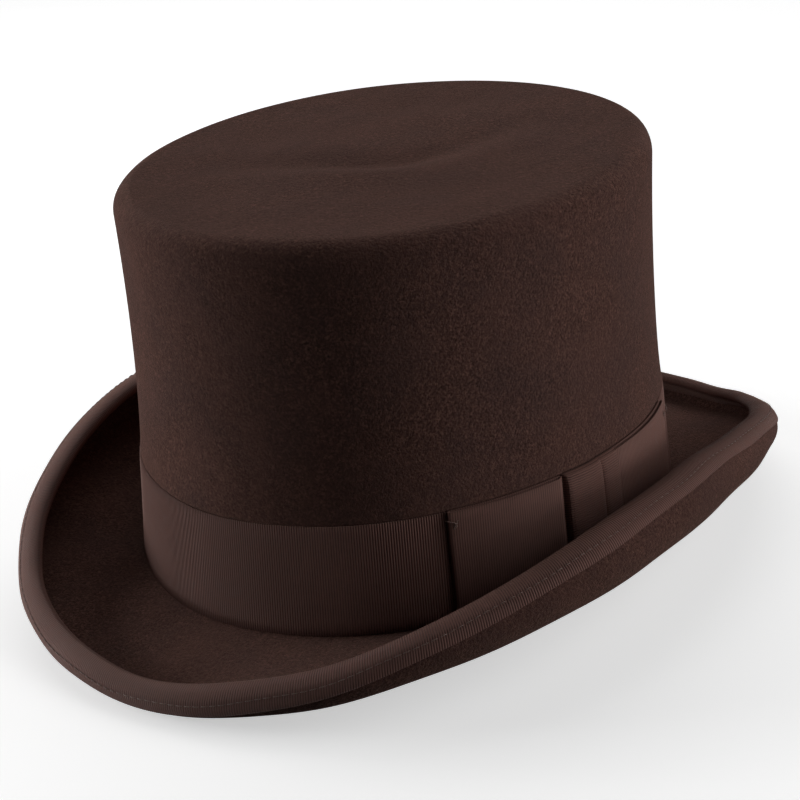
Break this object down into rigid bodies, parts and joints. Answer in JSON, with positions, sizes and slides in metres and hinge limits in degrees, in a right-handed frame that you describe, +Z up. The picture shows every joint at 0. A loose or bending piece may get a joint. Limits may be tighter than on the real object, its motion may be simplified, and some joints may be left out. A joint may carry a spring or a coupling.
{
  "type": "top hat",
  "caption": "Brown felt top hat with a straight-sided crown, a rolled brim bound in ribbed ribbon, a ribbon hatband with a flat bow, a leather sweatband and a satin lining.",
  "frame": {"origin": "on the surface that the hat stands on, under the middle of its box", "axes": "+Z up to the crown's tip, -Y to the front of the hat, +X to the wearer's left, the side with the bow"},
  "size_m": [0.2462, 0.3017, 0.1452],
  "materials": {
    "felt": "dark brown wool felt, matt with a short nap",
    "ribbon": "dark brown grosgrain ribbon with fine cross ribs and a slight sheen",
    "thread": "brown sewing thread",
    "leather": "smooth brown leather, satin",
    "reed": "covered reed, matt",
    "satin": "dark satin lining with a soft sheen",
    "label": "woven cream tab with no lettering"
  },
  "bodies": {
    "root": {"felt_body": "felt", "brim_binding": "ribbon", "binding_stitching": "thread", "hatband": "ribbon", "bow_front_loop": "ribbon", "bow_knot": "ribbon", "bow_rear_loop": "ribbon", "bow_tacks": "thread", "sweatband": "leather", "sweatband_reed": "reed", "sweatband_stitching": "thread", "sweatband_joint_tape": "ribbon", "sweatband_bow": "satin", "lining_side": "satin", "lining_tip": "satin", "size_label": "label"}
  },
  "joints": []
}
